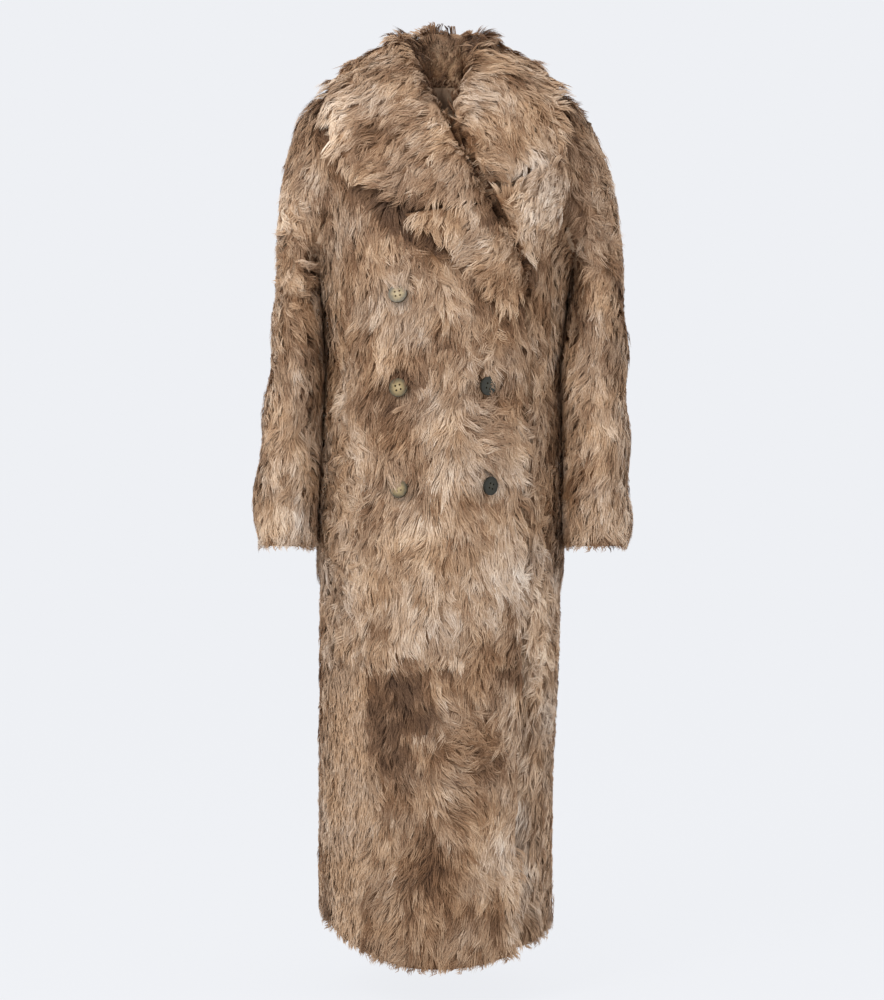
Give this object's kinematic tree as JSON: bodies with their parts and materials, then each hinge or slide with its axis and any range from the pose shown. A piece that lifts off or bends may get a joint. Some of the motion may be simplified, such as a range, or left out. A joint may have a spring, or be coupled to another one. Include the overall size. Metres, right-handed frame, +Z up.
{
  "type": "shearling coat",
  "caption": "Full-length double-breasted shearling coat with wide fur collar, notched lapels and long sleeves, standing hollow as worn, fur side out.",
  "frame": {"origin": "base of the neck between the shoulder-neck points, where the wearer's shoulders hold the coat", "axes": "+Z up along the body, -Y towards the front, +X towards the wearer's left"},
  "size_m": [0.5205, 0.3077, 1.2969],
  "materials": {
    "shearling": "long wavy wool pile in mixed beige and brown, matte",
    "horn": "polished horn with a mottled grain"
  },
  "bodies": {
    "root": {"front_right_upper": "shearling", "front_right_lower": "shearling", "front_left_upper": "shearling", "front_left_lower": "shearling", "side_right_upper": "shearling", "side_right_lower": "shearling", "side_left_upper": "shearling", "side_left_lower": "shearling", "back_right_upper": "shearling", "back_right_lower": "shearling", "back_left_upper": "shearling", "back_left_lower": "shearling", "sleeve_right": "shearling", "sleeve_left": "shearling", "collar": "shearling", "lapel_right": "shearling", "lapel_left": "shearling", "button_right_1": "horn", "button_right_2": "horn", "button_right_3": "horn", "button_left_1": "horn", "button_left_2": "horn"}
  },
  "joints": []
}
